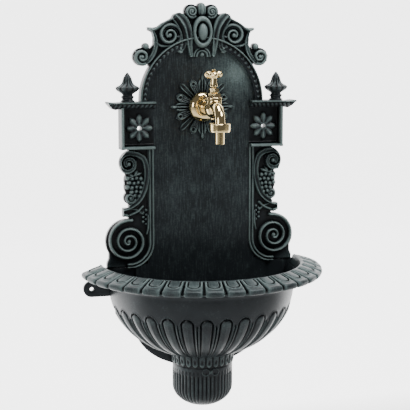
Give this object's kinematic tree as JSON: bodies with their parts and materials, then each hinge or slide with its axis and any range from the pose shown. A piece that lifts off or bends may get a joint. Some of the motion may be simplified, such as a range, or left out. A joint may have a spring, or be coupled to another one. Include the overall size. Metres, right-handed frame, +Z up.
{
  "type": "wall drinking fountain",
  "caption": "Wall-hung cast fountain with an arched relief back plate, a fluted half-round bowl on a pendant, and a brass bib tap with a T handle.",
  "frame": {"origin": "midway between the two upper wall holes, on the plane of the wall", "axes": "+Z up, +X to the right seen from the front, +Y into the wall"},
  "size_m": [0.421, 0.2265, 0.695],
  "materials": {
    "cast": "painted charcoal with grey-green verdigris brushed over the raised relief",
    "brass": "polished",
    "steel": "zinc plated",
    "rubber": "matte",
    "fibre": "pressed fibre",
    "packing": "greased graphite-free packing",
    "waste_plastic": "moulded"
  },
  "bodies": {
    "fountain": {"back_plate": "cast", "tap_rosette": "cast", "finial_left": "cast", "finial_right": "cast", "bowl": "cast", "pendant": "cast", "finial_studs": "steel", "bowl_bolts": "steel", "bowl_washers": "steel", "drain_body": "brass", "drain_gasket": "rubber", "drain_strainer": "brass", "strainer_screw": "brass", "drain_washer": "steel", "drain_nut": "brass", "drain_elbow": "waste_plastic", "tap_body": "brass", "tap_flange": "brass", "tap_washer": "steel", "tap_locknut": "brass", "bonnet": "brass", "bonnet_washer": "fibre", "gland_packing": "packing", "gland_nut": "brass", "hose_washer": "rubber", "hose_tail": "brass", "hose_union_nut": "brass"},
    "valve": {"jumper": "brass", "jumper_washer": "rubber", "jumper_nut": "brass"},
    "handle": {"spindle": "brass", "tee_handle": "brass", "handle_screw": "brass"}
  },
  "joints": [
    {"name": "valve_lift", "type": "slide", "parent": "fountain", "child": "valve", "axis": [0, 0, 1], "range_m": [0, 0.004]},
    {"name": "handle_turn", "type": "hinge", "parent": "valve", "child": "handle", "pos_m": [0, -0.084, 0.09], "axis": [0, 0, 1], "range_deg": [0, 720]}
  ],
  "couplings": [
    {"joint": "valve_lift", "follows": "handle_turn", "m_per_rad": 0.000318}
  ]
}
